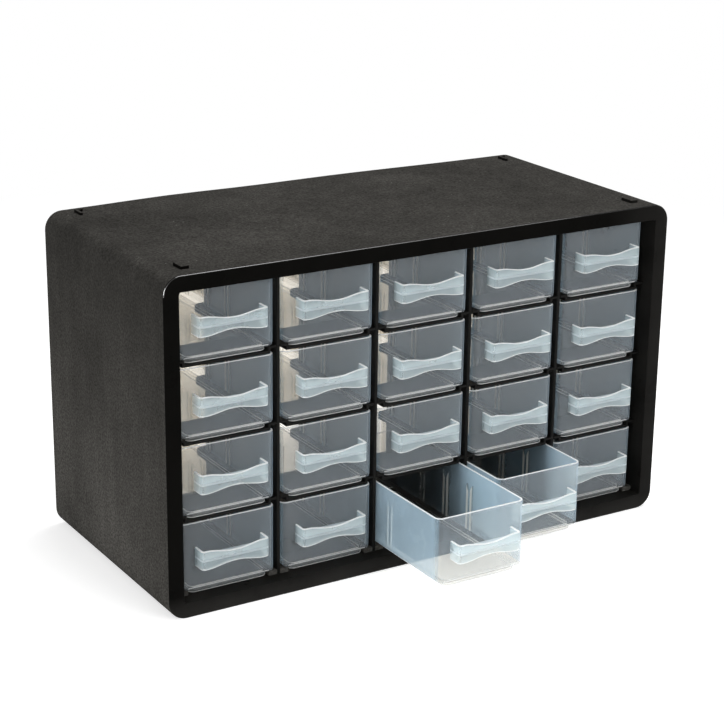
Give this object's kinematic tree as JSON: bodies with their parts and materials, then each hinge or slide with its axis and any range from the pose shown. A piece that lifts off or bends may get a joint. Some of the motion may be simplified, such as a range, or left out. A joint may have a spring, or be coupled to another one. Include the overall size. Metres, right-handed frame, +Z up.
{
  "type": "parts bin cabinet",
  "caption": "Tabletop cabinet of small clear drawers: black moulded casing with a rounded bezel, interlocking dividers and open runner shelves, and sliding translucent drawers with bow handles.",
  "frame": {"origin": "middle of the underside of the casing, on the surface it stands on", "axes": "+X to the right seen from the front, +Y to the back, +Z up; the drawers pull out along -Y"},
  "size_m": [0.384, 0.2524, 0.2258],
  "materials": {
    "casing_plastic": "black moulded plastic, fine speckled texture with a satin bezel",
    "rack_plastic": "black moulded plastic, satin",
    "clear_drawer_plastic": "translucent milky plastic, glossy"
  },
  "bodies": {
    "cabinet": {"casing": "casing_plastic", "divider_1": "rack_plastic", "divider_2": "rack_plastic", "divider_3": "rack_plastic", "divider_4": "rack_plastic", "shelf_1": "rack_plastic", "shelf_2": "rack_plastic", "shelf_3": "rack_plastic"},
    "drawer_r1c1_body": {"drawer_r1c1": "clear_drawer_plastic"},
    "drawer_r1c2_body": {"drawer_r1c2": "clear_drawer_plastic"},
    "drawer_r1c3_body": {"drawer_r1c3": "clear_drawer_plastic"},
    "drawer_r1c4_body": {"drawer_r1c4": "clear_drawer_plastic"},
    "drawer_r1c5_body": {"drawer_r1c5": "clear_drawer_plastic"},
    "drawer_r2c1_body": {"drawer_r2c1": "clear_drawer_plastic"},
    "drawer_r2c2_body": {"drawer_r2c2": "clear_drawer_plastic"},
    "drawer_r2c3_body": {"drawer_r2c3": "clear_drawer_plastic"},
    "drawer_r2c4_body": {"drawer_r2c4": "clear_drawer_plastic"},
    "drawer_r2c5_body": {"drawer_r2c5": "clear_drawer_plastic"},
    "drawer_r3c1_body": {"drawer_r3c1": "clear_drawer_plastic"},
    "drawer_r3c2_body": {"drawer_r3c2": "clear_drawer_plastic"},
    "drawer_r3c3_body": {"drawer_r3c3": "clear_drawer_plastic"},
    "drawer_r3c4_body": {"drawer_r3c4": "clear_drawer_plastic"},
    "drawer_r3c5_body": {"drawer_r3c5": "clear_drawer_plastic"},
    "drawer_r4c1_body": {"drawer_r4c1": "clear_drawer_plastic"},
    "drawer_r4c2_body": {"drawer_r4c2": "clear_drawer_plastic"},
    "drawer_r4c3_body": {"drawer_r4c3": "clear_drawer_plastic"},
    "drawer_r4c4_body": {"drawer_r4c4": "clear_drawer_plastic"},
    "drawer_r4c5_body": {"drawer_r4c5": "clear_drawer_plastic"}
  },
  "joints": [
    {"name": "slide_r1c1", "type": "slide", "parent": "cabinet", "child": "drawer_r1c1_body", "axis": [0, -1, 0], "range_m": [0, 0.11]},
    {"name": "slide_r1c2", "type": "slide", "parent": "cabinet", "child": "drawer_r1c2_body", "axis": [0, -1, 0], "range_m": [0, 0.11]},
    {"name": "slide_r1c3", "type": "slide", "parent": "cabinet", "child": "drawer_r1c3_body", "axis": [0, -1, 0], "range_m": [0, 0.11]},
    {"name": "slide_r1c4", "type": "slide", "parent": "cabinet", "child": "drawer_r1c4_body", "axis": [0, -1, 0], "range_m": [0, 0.11]},
    {"name": "slide_r1c5", "type": "slide", "parent": "cabinet", "child": "drawer_r1c5_body", "axis": [0, -1, 0], "range_m": [0, 0.11]},
    {"name": "slide_r2c1", "type": "slide", "parent": "cabinet", "child": "drawer_r2c1_body", "axis": [0, -1, 0], "range_m": [0, 0.11]},
    {"name": "slide_r2c2", "type": "slide", "parent": "cabinet", "child": "drawer_r2c2_body", "axis": [0, -1, 0], "range_m": [0, 0.11]},
    {"name": "slide_r2c3", "type": "slide", "parent": "cabinet", "child": "drawer_r2c3_body", "axis": [0, -1, 0], "range_m": [0, 0.11]},
    {"name": "slide_r2c4", "type": "slide", "parent": "cabinet", "child": "drawer_r2c4_body", "axis": [0, -1, 0], "range_m": [0, 0.11]},
    {"name": "slide_r2c5", "type": "slide", "parent": "cabinet", "child": "drawer_r2c5_body", "axis": [0, -1, 0], "range_m": [0, 0.11]},
    {"name": "slide_r3c1", "type": "slide", "parent": "cabinet", "child": "drawer_r3c1_body", "axis": [0, -1, 0], "range_m": [0, 0.11]},
    {"name": "slide_r3c2", "type": "slide", "parent": "cabinet", "child": "drawer_r3c2_body", "axis": [0, -1, 0], "range_m": [0, 0.11]},
    {"name": "slide_r3c3", "type": "slide", "parent": "cabinet", "child": "drawer_r3c3_body", "axis": [0, -1, 0], "range_m": [0, 0.11]},
    {"name": "slide_r3c4", "type": "slide", "parent": "cabinet", "child": "drawer_r3c4_body", "axis": [0, -1, 0], "range_m": [0, 0.11]},
    {"name": "slide_r3c5", "type": "slide", "parent": "cabinet", "child": "drawer_r3c5_body", "axis": [0, -1, 0], "range_m": [0, 0.11]},
    {"name": "slide_r4c1", "type": "slide", "parent": "cabinet", "child": "drawer_r4c1_body", "axis": [0, -1, 0], "range_m": [0, 0.11]},
    {"name": "slide_r4c2", "type": "slide", "parent": "cabinet", "child": "drawer_r4c2_body", "axis": [0, -1, 0], "range_m": [0, 0.11]},
    {"name": "slide_r4c3", "type": "slide", "parent": "cabinet", "child": "drawer_r4c3_body", "axis": [0, -1, 0], "range_m": [-0.072, 0.038]},
    {"name": "slide_r4c4", "type": "slide", "parent": "cabinet", "child": "drawer_r4c4_body", "axis": [0, -1, 0], "range_m": [-0.0365, 0.0735]},
    {"name": "slide_r4c5", "type": "slide", "parent": "cabinet", "child": "drawer_r4c5_body", "axis": [0, -1, 0], "range_m": [0, 0.11]}
  ]
}
